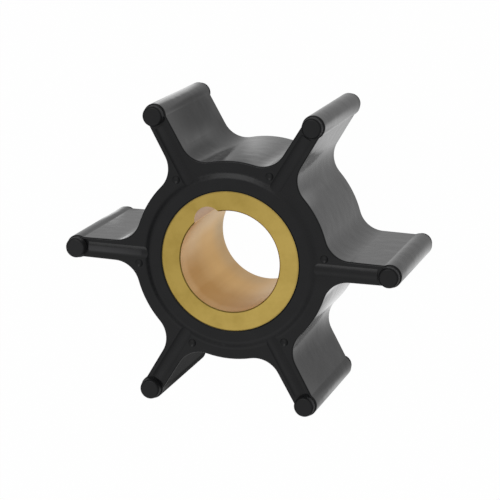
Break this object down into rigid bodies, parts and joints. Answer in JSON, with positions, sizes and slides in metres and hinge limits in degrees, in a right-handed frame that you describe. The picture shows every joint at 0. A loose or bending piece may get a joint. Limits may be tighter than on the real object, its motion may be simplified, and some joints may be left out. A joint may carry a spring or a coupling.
{
  "type": "pump impeller",
  "caption": "Flexible pump impeller: a black rubber wheel with straight vanes and round tip beads, moulded onto a brass bush with a keyed bore.",
  "frame": {"origin": "on the shaft axis, in the plane of the lower ends of the vane tips, which the part stands on", "axes": "+Z along the shaft axis, towards the face whose bush lies flush; +X along the middle of one vane"},
  "size_m": [0.0504, 0.0442, 0.0225],
  "materials": {
    "black_rubber": "moulded, satin",
    "machined_brass": "faced and bored, semi-bright"
  },
  "bodies": {
    "root": {"rubber_wheel": "black_rubber", "brass_bush": "machined_brass"}
  },
  "joints": []
}
